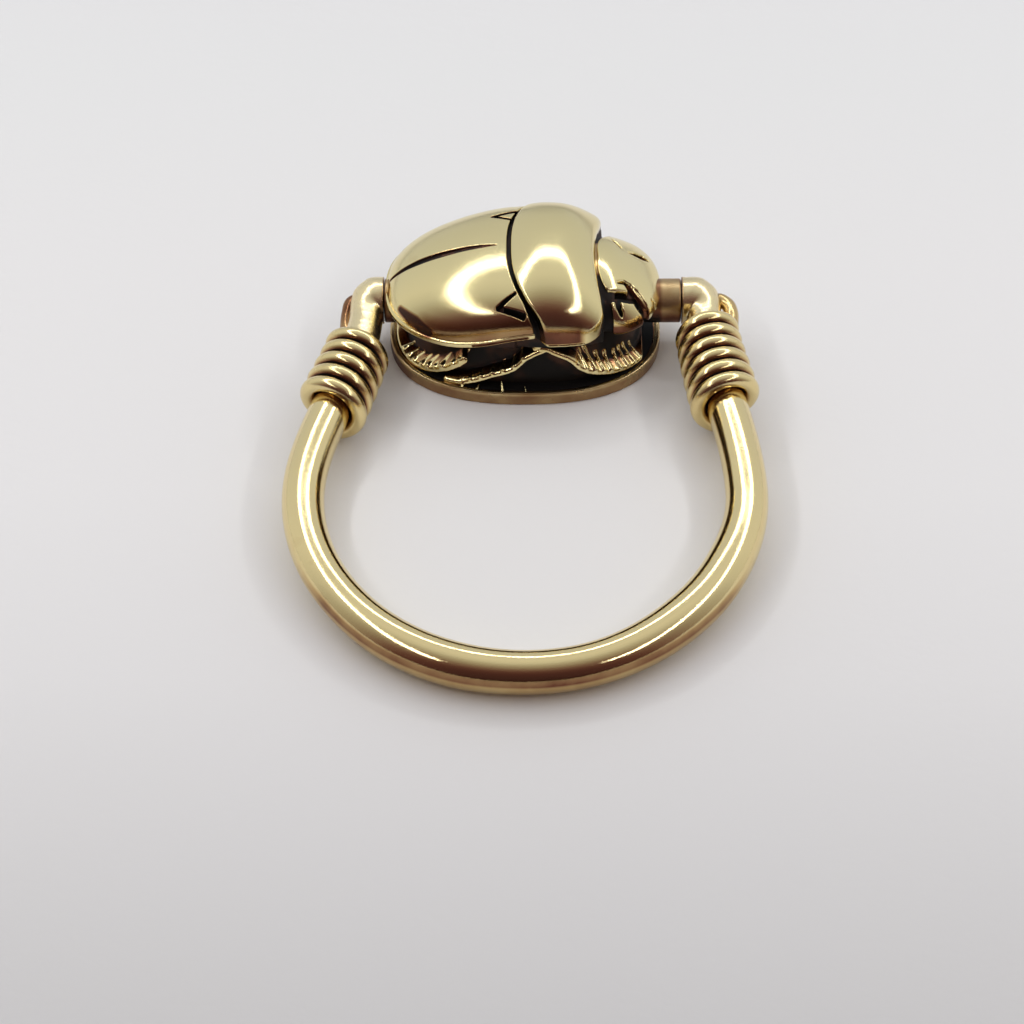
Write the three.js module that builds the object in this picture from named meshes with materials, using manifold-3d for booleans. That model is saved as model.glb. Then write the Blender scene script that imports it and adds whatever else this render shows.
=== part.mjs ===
// Scarab swivel ring: a gold beetle on an oval seal plate, turning on a wire between the ends of a hoop.
// Units are millimetres, with +Z up. The origin is the middle of the flat seal face under the beetle.
// The head looks along +X, and the hoop lies toward -Y with its far side on the table.
import * as THREE from 'three';
import { mergeVertices } from 'three/addons/utils/BufferGeometryUtils.js';
import Module from 'manifold-3d';

const wasm = await Module();
wasm.setup();

// Seal plate
const PLATE_LENGTH = 12.4;
const PLATE_WIDTH = 9.1;
const PLATE_THICKNESS = 0.6;

// Pivot: a tube through the beetle, and the wire that runs through it
const PIVOT_HEIGHT = 2.2;
const TUBE_DIAMETER = 2.0;
const WIRE_DIAMETER = 0.66;
const RUNNING_CLEARANCE = 0.07;
const END_PLAY = 0.1;
const SEAT_CLEARANCE = 0.05;

// Hoop: a finger bore, a rod that thins toward the pivot, and two elbows that carry the wire
const FINGER_BORE = 17.2;
const ROD_DIAMETER = 1.84;
const POST_DIAMETER = 1.46;
const HOOP_DEPTH = 11.5;
const ELBOW_DIAMETER = 2.16;
const TAIL_GAP = 0.17;
const NOSE_GAP = 0.98;
const LEFT_ELBOW_LENGTH = 1.46;
const RIGHT_ELBOW_LENGTH = 1.72;
const LEFT_ELBOW_ROUND = 1.15;
const RIGHT_ELBOW_ROUND = 0.95;
const POST_STRAIGHT = 0.6;
const TAPER_DEPTH = 7.5;
const TABLE_CLEARANCE = 0.02;

// Wire windings round the two shoulders of the hoop
const WINDING_PITCH = 0.77;
const WINDING_CLEARANCE = 0.06;
const LEFT_TURNS = 4.5;
const RIGHT_TURNS = 5.5;
const LEFT_WINDING_START = 3.3;
const RIGHT_WINDING_START = 2.2;
const LOOP_REACH = 0.1;
const LOOP_DEPTH = 0.62;

// Beetle
const NOSE_SETBACK = 0.03;
const TAIL_OVERHANG = 0.08;
const WING_SETBACK = 0.5;
const THORAX_SETBACK = 0.3;
const WAIST_SETBACK = 6.85;
const NECK_SETBACK = 3;
const CORE_LAP = 0.4;
const WING_BOW = 1.1;
const THORAX_BOW = 2.1;
const THORAX_DRAW_BACK = 2.4;
const BACK_HEIGHT = 5.65;
const THORAX_HEIGHT = 6.1;
const WING_EDGE_REAR_HEIGHT = 2.85;
const WING_EDGE_FRONT_HEIGHT = 3.5;
const THORAX_EDGE_HEIGHT = 3.15;
const HEAD_WIDTH = 5.3;
const HEAD_EDGE_HEIGHT = 2.55;
const GROOVE_WIDTH = 0.24;
const GROOVE_DEPTH = 0.34;
const FLANK_FOOT_INSET = 0.28;
const FLANK_TOP_INSET = 1.0;
const FLANK_LAP = 0.15;
const WALL_SETBACK = 0.5;
const LEG_HEIGHT = 0.3;
const LEG_ROUND = 0.07;
const LEG_LAP = 0.2;
const OVERRUN = 0.5;

// Facet counts
const ROD_SIDES = 16;
const ROD_SIDE_STEPS = 26;
const ROD_BOTTOM_STEPS = 44;
const WIRE_SIDES = 6;
const STEPS_PER_TURN = 24;
const ROUND_SIDES = 32;
const SECTION_STEPS = 20;
const OUTLINE_STEPS = 64;

// Exponents of the squared ovals: 2 is an ellipse, and more is fuller at the corners
const PLATE_SQUARENESS = 2.4;
const SECTION_SQUARENESS = 2.3;
const BACK_SQUARENESS = 1.75;

// Values that follow from the sizes above
const rodRadius = ROD_DIAMETER / 2;
const postRadius = POST_DIAMETER / 2;
const wireRadius = WIRE_DIAMETER / 2;
const elbowRadius = ELBOW_DIAMETER / 2;
const tubeRadius = TUBE_DIAMETER / 2;
const boreRadius = wireRadius + RUNNING_CLEARANCE;
const hoopRadius = (FINGER_BORE + ROD_DIAMETER) / 2;
const hoopReach = HOOP_DEPTH + hoopRadius;
const hoopTilt = Math.asin((PIVOT_HEIGHT - rodRadius - TABLE_CLEARANCE) / hoopReach);
const noseX = PLATE_LENGTH / 2 - NOSE_SETBACK;
const tailX = -PLATE_LENGTH / 2 - TAIL_OVERHANG;
const waistX = PLATE_LENGTH / 2 - WAIST_SETBACK;
const neckX = PLATE_LENGTH / 2 - NECK_SETBACK;
const coreFrontX = neckX + CORE_LAP;
const wingHalfWidth = PLATE_WIDTH / 2 - WING_SETBACK;
const thoraxHalfWidth = PLATE_WIDTH / 2 - THORAX_SETBACK;
const flankTop = WING_EDGE_REAR_HEIGHT + FLANK_LAP;
const leftMouthX = tailX - TAIL_GAP;
const rightMouthX = noseX + NOSE_GAP;

// One side of the hoop: which way is outward, where its elbow sits and how its wire is wound
const leftSide = {
  outward: -1,
  mouthX: leftMouthX,
  elbowLength: LEFT_ELBOW_LENGTH,
  elbowRound: LEFT_ELBOW_ROUND,
  turns: LEFT_TURNS,
  windingStart: LEFT_WINDING_START,
  loopAngle: -Math.PI / 4,
};
const rightSide = {
  outward: 1,
  mouthX: rightMouthX,
  elbowLength: RIGHT_ELBOW_LENGTH,
  elbowRound: RIGHT_ELBOW_ROUND,
  turns: RIGHT_TURNS,
  windingStart: RIGHT_WINDING_START,
  loopAngle: -Math.PI / 12,
};

// Closed solids from rings of points

function solidFrom(points, faces) {
  const geometry = new THREE.BufferGeometry();
  geometry.setAttribute('position', new THREE.Float32BufferAttribute(points.flatMap((p) => p.toArray()), 3));
  geometry.setIndex(faces.flat());
  return geometry;
}

// Joins rings of equal count, in order, into one closed skin with a fan at each end.
// Each ring runs anticlockwise as seen from the end that the rings go toward.
function loft(rings) {
  const count = rings[0].length;
  const points = rings.flat();
  const faces = [];
  for (let ring = 0; ring < rings.length - 1; ring += 1) {
    for (let step = 0; step < count; step += 1) {
      const next = (step + 1) % count;
      const a = ring * count + step;
      const b = ring * count + next;
      faces.push([a, b, b + count], [a, b + count, a + count]);
    }
  }
  const middleOf = (ring) => ring.reduce((sum, p) => sum.add(p), new THREE.Vector3()).divideScalar(count);
  const first = points.length;
  const last = first + 1;
  points.push(middleOf(rings[0]), middleOf(rings.at(-1)));
  const lastRing = (rings.length - 1) * count;
  for (let step = 0; step < count; step += 1) {
    const next = (step + 1) % count;
    faces.push([first, next, step], [last, lastRing + step, lastRing + next]);
  }
  return solidFrom(points, faces);
}

// Sweeps a round section along points, with a radius at each and a steady direction across
function sweep(centres, radiusAt, sides, across) {
  const rings = centres.map((centre, index) => {
    const before = centres[Math.max(index - 1, 0)];
    const after = centres[Math.min(index + 1, centres.length - 1)];
    const along = after.clone().sub(before).normalize();
    const side = across(index).clone();
    side.addScaledVector(along, -side.dot(along)).normalize();
    const up = along.clone().cross(side);
    return Array.from({ length: sides }, (_, step) => {
      const angle = (2 * Math.PI * step) / sides;
      return centre
        .clone()
        .addScaledVector(side, radiusAt(index) * Math.cos(angle))
        .addScaledVector(up, radiusAt(index) * Math.sin(angle));
    });
  });
  return loft(rings);
}

// Carries a direction along a curve without twist, so that a wire's facets stay in line
function steadyAcross(centres, start) {
  const carried = [];
  let side = start.clone();
  centres.forEach((centre, index) => {
    const before = centres[Math.max(index - 1, 0)];
    const after = centres[Math.min(index + 1, centres.length - 1)];
    const along = after.clone().sub(before).normalize();
    side = side.clone().addScaledVector(along, -side.dot(along)).normalize();
    carried.push(side);
  });
  return (index) => carried[index];
}

// Joining and cutting

function toSolid(geometry) {
  const bare = geometry.clone();
  bare.deleteAttribute('normal');
  bare.deleteAttribute('uv');
  const merged = mergeVertices(bare);
  return new wasm.Manifold(
    new wasm.Mesh({
      numProp: 3,
      vertProperties: new Float32Array(merged.attributes.position.array),
      triVerts: new Uint32Array(merged.index.array),
    }),
  );
}

function toGeometry(solid) {
  const mesh = solid.getMesh();
  const geometry = new THREE.BufferGeometry();
  geometry.setAttribute('position', new THREE.BufferAttribute(new Float32Array(mesh.vertProperties), 3));
  geometry.setIndex(new THREE.BufferAttribute(new Uint32Array(mesh.triVerts), 1));
  return geometry;
}

const joined = (geometries) => geometries.map(toSolid).reduce((whole, next) => whole.add(next));

// A round bar along X between two places, on the pivot axis of its own frame
function barAlongX(radius, fromX, toX) {
  const bar = new THREE.CylinderGeometry(radius, radius, toX - fromX, ROUND_SIDES);
  bar.rotateZ(-Math.PI / 2);
  bar.translate((fromX + toX) / 2, 0, 0);
  return bar;
}

// Half-width of a squared oval at a share of its half-length
function squaredShare(share, squareness) {
  return Math.max(1 - Math.abs(share) ** squareness, 0) ** (1 / squareness);
}

function squaredPower(value, squareness) {
  return Math.sign(value) * Math.abs(value) ** (2 / squareness);
}

// The oval outline of the seal plate, drawn in by an inset, at a height
function ovalRing(inset, height) {
  return Array.from({ length: OUTLINE_STEPS }, (_, step) => {
    const angle = (2 * Math.PI * step) / OUTLINE_STEPS;
    return new THREE.Vector3(
      (PLATE_LENGTH / 2 - inset) * squaredPower(Math.cos(angle), PLATE_SQUARENESS),
      (PLATE_WIDTH / 2 - inset) * squaredPower(Math.sin(angle), PLATE_SQUARENESS),
      height,
    );
  });
}

const smoothShare = (share) => share * share * (3 - 2 * share);
const mix = (from, to, share) => from + (to - from) * share;

// Hoop

// Middle of the elbow on a side, where the post hangs from it
function elbowX(side) {
  return side.mouthX + side.outward * (side.elbowLength - postRadius);
}

// Middle of the rod at a depth below the pivot, on one side
function rodCentre(side, depth) {
  const share = THREE.MathUtils.clamp((depth - POST_STRAIGHT) / (HOOP_DEPTH - POST_STRAIGHT), 0, 1);
  const x = mix(elbowX(side), side.outward * hoopRadius, smoothShare(share));
  return new THREE.Vector3(x, -depth, 0);
}

function rodRadiusAt(depth) {
  const share = THREE.MathUtils.clamp((depth - POST_STRAIGHT) / (TAPER_DEPTH - POST_STRAIGHT), 0, 1);
  return mix(postRadius, rodRadius, smoothShare(share));
}

// The elbow at the top of a post: a round bar whose outer end is domed
function elbowGeometry(side) {
  const straight = side.elbowLength - side.elbowRound;
  const profile = [new THREE.Vector2(0, 0), new THREE.Vector2(elbowRadius, 0)];
  for (let step = 0; step <= SECTION_STEPS / 2; step += 1) {
    const angle = (Math.PI / 2) * (step / (SECTION_STEPS / 2));
    const radius = step === SECTION_STEPS / 2 ? 0 : elbowRadius * Math.cos(angle);
    profile.push(new THREE.Vector2(radius, straight + side.elbowRound * Math.sin(angle)));
  }
  const elbow = new THREE.LatheGeometry(profile, ROUND_SIDES);
  elbow.rotateZ((-side.outward * Math.PI) / 2);
  elbow.translate(side.mouthX, 0, 0);
  return elbow;
}

function shankGeometry() {
  const centres = [];
  for (let step = 0; step < ROD_SIDE_STEPS; step += 1) {
    centres.push(rodCentre(leftSide, (HOOP_DEPTH * step) / ROD_SIDE_STEPS));
  }
  for (let step = 0; step <= ROD_BOTTOM_STEPS; step += 1) {
    const angle = Math.PI + (Math.PI * step) / ROD_BOTTOM_STEPS;
    const drop = hoopRadius * Math.sin(angle);
    centres.push(new THREE.Vector3(hoopRadius * Math.cos(angle), drop - HOOP_DEPTH, 0));
  }
  for (let step = ROD_SIDE_STEPS - 1; step >= 0; step -= 1) {
    centres.push(rodCentre(rightSide, (HOOP_DEPTH * step) / ROD_SIDE_STEPS));
  }
  const flat = new THREE.Vector3(0, 0, 1);
  const rod = sweep(centres, (index) => rodRadiusAt(-centres[index].y), ROD_SIDES, () => flat);
  const bore = barAlongX(boreRadius, -hoopRadius - OVERRUN, hoopRadius + OVERRUN);
  return toGeometry(joined([rod, elbowGeometry(leftSide), elbowGeometry(rightSide)]).subtract(toSolid(bore)));
}

// Wire: from the foot of one winding, up round the shoulder, through both elbows, and down the other

// A point on the winding of one side, by its angle round the rod and its depth
function windingPoint(side, angle, depth) {
  const centre = rodCentre(side, depth);
  const slope = rodCentre(side, depth + POST_STRAIGHT).sub(centre).normalize();
  const outward = new THREE.Vector3(-slope.y, slope.x, 0).multiplyScalar(side.outward);
  const radius = rodRadiusAt(depth) + WINDING_CLEARANCE + wireRadius;
  return centre
    .addScaledVector(outward, radius * Math.cos(angle))
    .addScaledVector(new THREE.Vector3(0, 0, 1), radius * Math.sin(angle));
}

// How far the wire has turned and dropped on its way from the loop to the first crest
const leadShares = [[0.1, 0.4], [0.35, 0.74], [0.66, 0.92], [1, 1]];

// Centre points from the pivot axis outward, round the loop and down to the foot of one winding
function wirePoints(side) {
  const faceX = side.mouthX + side.outward * side.elbowLength;
  const loopRadius = postRadius + WINDING_CLEARANCE + wireRadius + LOOP_REACH;
  const frontAngle = Math.PI / 2;
  const loopTop = new THREE.Vector3(
    elbowX(side) + side.outward * loopRadius * Math.cos(side.loopAngle),
    -LOOP_DEPTH,
    loopRadius * Math.sin(side.loopAngle),
  );
  const guide = [
    new THREE.Vector3(faceX - side.outward * wireRadius, 0, 0),
    new THREE.Vector3(faceX + side.outward * RUNNING_CLEARANCE, 0, 0),
    loopTop,
    ...leadShares.map(([turned, dropped]) => windingPoint(
      side,
      mix(side.loopAngle, frontAngle, turned),
      mix(LOOP_DEPTH, side.windingStart, dropped),
    )),
    windingPoint(side, frontAngle + Math.PI / 4, side.windingStart + WINDING_PITCH / 8),
  ];
  const lead = new THREE.CatmullRomCurve3(guide, false, 'centripetal');
  const leadShare = (guide.length - 2) / (guide.length - 1);
  const leadSteps = STEPS_PER_TURN;
  const points = [];
  for (let step = 0; step < leadSteps; step += 1) {
    points.push(lead.getPoint((leadShare * step) / leadSteps));
  }
  const steps = Math.round(side.turns * STEPS_PER_TURN);
  for (let step = 0; step <= steps; step += 1) {
    const turn = step / STEPS_PER_TURN;
    const angle = frontAngle + 2 * Math.PI * turn;
    points.push(windingPoint(side, angle, side.windingStart + WINDING_PITCH * turn));
  }
  const end = points.at(-1);
  const heading = end.clone().sub(points.at(-2)).normalize();
  points.push(end.clone().addScaledVector(heading, WIRE_DIAMETER));
  return points;
}

// Least distance between the middles of stretches that lie over half a turn apart along the wire
function leastSpacing(points) {
  const apart = STEPS_PER_TURN / 2;
  let least = Infinity;
  for (let first = 0; first < points.length; first += 1) {
    for (let second = first + apart; second < points.length; second += 1) {
      least = Math.min(least, points[first].distanceTo(points[second]));
    }
  }
  return least;
}

function wireGeometry() {
  const leftPoints = wirePoints(leftSide);
  const rightPoints = wirePoints(rightSide);
  const centres = [...leftPoints.reverse(), ...rightPoints];
  const spacing = leastSpacing(centres);
  console.log(`wire: least spacing of its turns ${spacing.toFixed(3)} mm between middles,`);
  console.log(`wire: least gap to itself ${(spacing - WIRE_DIAMETER).toFixed(3)} mm between surfaces`);
  return sweep(centres, () => wireRadius, WIRE_SIDES, steadyAcross(centres, new THREE.Vector3(0, 0, 1)));
}

// Pivot tube

function tubeGeometry() {
  const from = leftMouthX + END_PLAY;
  const to = rightMouthX - END_PLAY;
  const profile = [
    new THREE.Vector2(boreRadius, from),
    new THREE.Vector2(tubeRadius, from),
    new THREE.Vector2(tubeRadius, to),
    new THREE.Vector2(boreRadius, to),
    new THREE.Vector2(boreRadius, from),
  ];
  const tube = new THREE.LatheGeometry(profile, ROUND_SIDES);
  tube.rotateZ(-Math.PI / 2);
  return tube;
}

// Seal plate

function plateGeometry() {
  return loft([ovalRing(0, 0), ovalRing(0, PLATE_THICKNESS)]);
}

// Beetle

// One cross-section of a domed shell: a flat underside with a full arch over it.
// Its sides may be bowed forward along the body, and its very edges drawn back again.
function archRing(place, halfWidth, edgeHeight, topHeight, bow, drawBack) {
  return Array.from({ length: SECTION_STEPS + 1 }, (_, step) => {
    const angle = (Math.PI * step) / SECTION_STEPS;
    const across = squaredPower(Math.cos(angle), SECTION_SQUARENESS);
    const rise = squaredPower(Math.sin(angle), SECTION_SQUARENESS);
    return new THREE.Vector3(
      place + bow * across ** 2 - drawBack * across ** 4,
      halfWidth * across,
      mix(edgeHeight, topHeight, Math.max(rise, 0)),
    );
  });
}

// A shell along the body from places, half-widths, edge heights, top heights, bows and draw-backs
const shell = (stations) => loft(stations.map((station) => archRing(...station)));

const wingSpan = waistX - tailX;

// Wing cases: widest by the waist, and rounded down to the tail
function wingStations(shrink) {
  const placeShares = [0, 0.2, 0.4, 0.56, 0.7, 0.8, 0.88, 0.94, 0.98, 0.995];
  return placeShares
    .map((share) => {
      const width = (wingHalfWidth - shrink) * squaredShare(share, SECTION_SQUARENESS);
      const edge = mix(WING_EDGE_FRONT_HEIGHT, WING_EDGE_REAR_HEIGHT, Math.min(2 * share, 1));
      const top = mix(edge, BACK_HEIGHT - shrink, squaredShare(share, BACK_SQUARENESS));
      const place = waistX - GROOVE_WIDTH / 2 - (wingSpan - GROOVE_WIDTH / 2 - shrink) * share;
      return [place, width, edge, top, WING_BOW * (1 - share), 0];
    })
    .reverse();
}

// Thorax: the highest and widest part, closing down round the head
function thoraxStations() {
  const placeShares = [0, 0.12, 0.3, 0.5, 0.7, 0.85, 0.95, 1];
  const widthShares = [0.955, 0.985, 1, 0.995, 0.97, 0.93, 0.88, 0.82];
  const topShares = [0.86, 0.94, 1, 1, 0.96, 0.89, 0.81, 0.7];
  const edgeShares = [0.12, 0.02, 0, 0, 0, 0.02, 0.05, 0.1];
  const bowShares = [0.62, 0.5, 0.4, 0.4, 0.52, 0.71, 0.88, 1];
  const drawBackShares = [0, 0.04, 0.13, 0.29, 0.5, 0.73, 0.92, 1];
  return placeShares.map((share, index) => {
    const rise = THORAX_HEIGHT - THORAX_EDGE_HEIGHT;
    return [
      mix(waistX + GROOVE_WIDTH / 2, neckX, share),
      thoraxHalfWidth * widthShares[index],
      THORAX_EDGE_HEIGHT + rise * edgeShares[index],
      THORAX_EDGE_HEIGHT + rise * topShares[index],
      THORAX_BOW * bowShares[index],
      THORAX_DRAW_BACK * drawBackShares[index],
    ];
  });
}

// Head: a broad wedge that slopes down to a blunt front edge
function headStations() {
  const placeShares = [0, 0.25, 0.5, 0.72, 0.88, 0.96, 1];
  const widthShares = [0.9, 1, 0.93, 0.78, 0.6, 0.46, 0.38];
  const topShares = [0.7, 0.67, 0.51, 0.36, 0.27, 0.22, 0.17];
  const edgeShares = [0, 0, 0.02, 0.06, 0.1, 0.12, 0.14];
  const rise = THORAX_HEIGHT - HEAD_EDGE_HEIGHT;
  return placeShares.map((share, index) => [
    mix(neckX, noseX, share),
    (HEAD_WIDTH / 2) * widthShares[index],
    HEAD_EDGE_HEIGHT + rise * edgeShares[index],
    HEAD_EDGE_HEIGHT + rise * topShares[index],
    0,
    0,
  ]);
}

// The body under the shells, which the grooves between them show
function coreGeometry() {
  const stations = wingStations(GROOVE_DEPTH);
  const placeShares = [0.3, 0.6, 0.85, 1];
  const narrowShares = [1, 0.98, 0.8, 0.6];
  const topShares = [1, 1, 0.75, 0.55];
  placeShares.forEach((share, index) => {
    stations.push([
      mix(waistX, coreFrontX, share),
      (wingHalfWidth - GROOVE_DEPTH) * narrowShares[index],
      WING_EDGE_REAR_HEIGHT,
      mix(WING_EDGE_REAR_HEIGHT, BACK_HEIGHT - GROOVE_DEPTH, topShares[index]),
      0,
      0,
    ]);
  });
  return shell(stations);
}

// The flank wall between the seal plate and the shells, set back behind the legs
function flankGeometry() {
  return loft([
    ovalRing(FLANK_FOOT_INSET + WALL_SETBACK, PLATE_THICKNESS),
    ovalRing(FLANK_TOP_INSET + WALL_SETBACK, flankTop),
  ]);
}

// A point on the legs' outer skin, by shares of the plate's half-length and of the flank's rise,
// and the point that lies behind it at a depth
function flankPoint(placeShare, riseShare, depth) {
  const inset = mix(FLANK_FOOT_INSET, FLANK_TOP_INSET, riseShare);
  const halfLength = PLATE_LENGTH / 2 - inset;
  const halfWidth = PLATE_WIDTH / 2 - inset;
  const ovalShare = (PLATE_LENGTH / 2 / halfLength) * placeShare;
  return new THREE.Vector3(
    (halfLength - depth) * ovalShare,
    (halfWidth - depth) * squaredShare(ovalShare, PLATE_SQUARENESS),
    mix(PLATE_THICKNESS, flankTop, riseShare),
  );
}

// Legs: each is a ledge that stands out from the wall, from the rear forward,
// through shares along the body and up the flank
const hindLegShares = [
  [-0.94, 0.02],
  [-0.86, 0.02],
  [-0.726, 0.11],
  [-0.645, 0.18],
  [-0.565, 0.28],
  [-0.484, 0.42],
  [-0.43, 0.54],
];
const middleLegShares = [
  [-0.58, 0.01],
  [-0.468, 0.05],
  [-0.323, 0.18],
  [-0.239, 0.27],
  [-0.152, 0.34],
  [-0.081, 0.42],
  [-0.032, 0.53],
  [0.073, 0.71],
  [0.145, 0.79],
];
const frontLegShares = [
  [0.113, 0.82],
  [0.234, 0.7],
  [0.306, 0.61],
  [0.355, 0.51],
  [0.39, 0.4],
  [0.452, 0.3],
  [0.516, 0.23],
  [0.605, 0.16],
  [0.685, 0.11],
  [0.84, 0.03],
];

function legGeometry(routeShares) {
  const outer = routeShares.map(([placeShare, riseShare]) => flankPoint(placeShare, riseShare, 0));
  const inner = routeShares.map(([placeShare, riseShare]) =>
    flankPoint(placeShare, riseShare, WALL_SETBACK + LEG_LAP));
  const rings = outer.map((point, index) => {
    const before = outer[Math.max(index - 1, 0)];
    const after = outer[Math.min(index + 1, outer.length - 1)];
    const along = after.clone().sub(before).normalize();
    const inward = inner[index].clone().sub(point);
    const up = inward.clone().cross(along).normalize();
    const edge = inward.clone().setLength(LEG_ROUND);
    const at = (base, rise) => base.clone().addScaledVector(up, rise);
    const half = LEG_HEIGHT / 2;
    return [
      at(inner[index], -half),
      at(point, -half).add(edge),
      at(point, LEG_ROUND - half),
      at(point, half - LEG_ROUND),
      at(point, half).add(edge),
      at(inner[index], half),
    ];
  });
  return loft(rings);
}

// The seam between the two wing cases, cut along the middle of the back
function sutureGeometry() {
  const stations = wingStations(0);
  const shape = new THREE.Shape();
  stations.forEach(([place, , , top], index) => {
    const draw = index === 0 ? 'moveTo' : 'lineTo';
    shape[draw](place, top - GROOVE_DEPTH);
  });
  shape.lineTo(waistX - GROOVE_WIDTH, BACK_HEIGHT + OVERRUN);
  shape.lineTo(tailX, BACK_HEIGHT + OVERRUN);
  const seam = new THREE.ExtrudeGeometry(shape, { depth: GROOVE_WIDTH, bevelEnabled: false });
  seam.rotateX(Math.PI / 2);
  seam.translate(0, GROOVE_WIDTH / 2, 0);
  return seam;
}

function beetleGeometry() {
  const legsOfOneSide = joined([hindLegShares, middleLegShares, frontLegShares].map(legGeometry))
    .trimByPlane([0, 0, 1], PLATE_THICKNESS);
  const body = joined([
    flankGeometry(),
    coreGeometry(),
    shell(wingStations(0)),
    shell(thoraxStations()),
    shell(headStations()),
  ])
    .add(legsOfOneSide)
    .add(legsOfOneSide.mirror([0, 1, 0]));
  const bore = barAlongX(tubeRadius + SEAT_CLEARANCE, tailX - OVERRUN, noseX + OVERRUN);
  bore.translate(0, 0, PIVOT_HEIGHT);
  return toGeometry(body.subtract(toSolid(sutureGeometry())).subtract(toSolid(bore)));
}

// Materials

const polishedGold = { color: 0xcdb878, roughness: 0.24, metalness: 1 };
const wornGold = { color: 0xb59c62, roughness: 0.38, metalness: 1 };

function part(name, geometry, look) {
  geometry.computeVertexNormals();
  const mesh = new THREE.Mesh(geometry, new THREE.MeshStandardMaterial(look));
  mesh.name = name;
  return mesh;
}

// Assembly

const pivotTube = part('pivot_tube', tubeGeometry(), wornGold);
pivotTube.position.z = PIVOT_HEIGHT;

const hoop = new THREE.Group();
hoop.position.z = PIVOT_HEIGHT;
hoop.rotation.x = hoopTilt;
hoop.add(part('shank', shankGeometry(), polishedGold));
hoop.add(part('swivel_wire', wireGeometry(), polishedGold));

const group = new THREE.Group();
group.add(part('seal_plate', plateGeometry(), polishedGold));
group.add(part('scarab_body', beetleGeometry(), polishedGold));
group.add(pivotTube);
group.add(hoop);

export default group;
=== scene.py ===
import math

import bpy
import numpy as np
import openvdb
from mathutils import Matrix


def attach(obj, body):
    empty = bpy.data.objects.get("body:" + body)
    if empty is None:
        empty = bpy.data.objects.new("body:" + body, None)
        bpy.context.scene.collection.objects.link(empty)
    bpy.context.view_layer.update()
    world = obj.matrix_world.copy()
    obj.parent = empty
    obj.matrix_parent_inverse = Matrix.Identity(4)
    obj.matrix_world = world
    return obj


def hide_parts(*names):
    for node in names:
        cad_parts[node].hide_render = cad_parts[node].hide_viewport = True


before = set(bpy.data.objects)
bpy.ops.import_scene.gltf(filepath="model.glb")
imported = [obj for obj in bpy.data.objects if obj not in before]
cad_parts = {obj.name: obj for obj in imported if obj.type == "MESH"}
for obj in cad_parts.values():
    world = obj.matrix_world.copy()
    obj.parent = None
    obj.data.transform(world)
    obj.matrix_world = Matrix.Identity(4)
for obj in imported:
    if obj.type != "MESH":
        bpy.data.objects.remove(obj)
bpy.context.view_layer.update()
scene = bpy.context.scene
MM = 0.001

# Sizes that the ring was built to
PIVOT_HEIGHT = 2.2
PLATE_LENGTH = 12.4
PLATE_WIDTH = 9.1
PLATE_THICKNESS = 0.6
PLATE_SQUARENESS = 2.4
TUBE_RADIUS = 1.0
TUBE_ENDS = (-6.38, 7.08)
MOUTH_REACH = 0.03
WIRE_RADIUS = 0.33
WINDING_PITCH = 0.77
WINDING_RADIUS = 0.36
WINDING_SWELL = 0.025
STEPS_PER_TURN = 48
LEAD_STEPS = 40
FINGER_BORE = 17.2
ROD_RADIUS = 0.92
POST_RADIUS = 0.73
HOOP_DEPTH = 11.5
TAPER_DEPTH = 7.5
POST_STRAIGHT = 0.6
TABLE_CLEARANCE = 0.02
HOOP_RADIUS = FINGER_BORE / 2 + ROD_RADIUS
HOOP_TILT = math.asin((PIVOT_HEIGHT - ROD_RADIUS - TABLE_CLEARANCE) / (HOOP_DEPTH + HOOP_RADIUS))
SIDES = {
    "left": {"outward": -1, "mouth": -6.45, "elbow": 1.46, "reach": 0.73, "turns": 4.5, "start": 3.3},
    "right": {"outward": 1, "mouth": 7.15, "elbow": 1.72, "reach": 0.99, "turns": 5.5, "start": 2.2},
}

# Wire between each elbow and its winding: places along X out from the post, depth, and rise
WIRE_LEADS = {
    "left": [(0.4, 0, 0), (0.7, 0.06, -0.1), (0.87, 0.5, -0.42), (0.92, 1.2, -0.62), (0.95, 2.0, -0.55)],
    "right": [(0.4, 0, 0), (0.78, 0.02, 0), (1.08, 0.3, 0), (1.22, 0.85, 0), (1.2, 1.4, -0.05)],
}
# How much painted shade browns each lead
LEAD_PAINTED_SHADE = {"left": 0.5, "right": 0.3}

# Fineness of the sculpted surfaces
SCULPT_STEP = 0.042
ELBOW_STEP = 0.05
CORE_STEP = 0.07

# Beetle
WAIST_X = -0.65
TAIL_X = -6.28
NOSE_X = 6.17
BACK_HEIGHT = 5.6
WING_HALF = 4.05
HEAD_HALF = 2.8


# Distance fields: each takes arrays of x, y and z, and is negative inside its shape

STROKE_REACH = 0.5
FAR_OFF = 9.0


def smooth_min(a, b, radius):
    share = np.clip(0.5 + 0.5 * (b - a) / radius, 0, 1)
    return b + (a - b) * share - radius * share * (1 - share)


def smooth_max(a, b, radius):
    return -smooth_min(-a, -b, radius)


def as_distance(shape, probe=0.02, flattest=0.05):
    """A shape's value divided by its slope, which is close to its distance near the surface."""
    def distance(x, y, z):
        value = shape(x, y, z)
        along_x = (shape(x + probe, y, z) - value) / probe
        along_y = (shape(x, y + probe, z) - value) / probe
        along_z = (shape(x, y, z + probe) - value) / probe
        slope = np.sqrt(along_x ** 2 + along_y ** 2 + along_z ** 2)
        return value / np.maximum(slope, flattest)
    return distance


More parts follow.
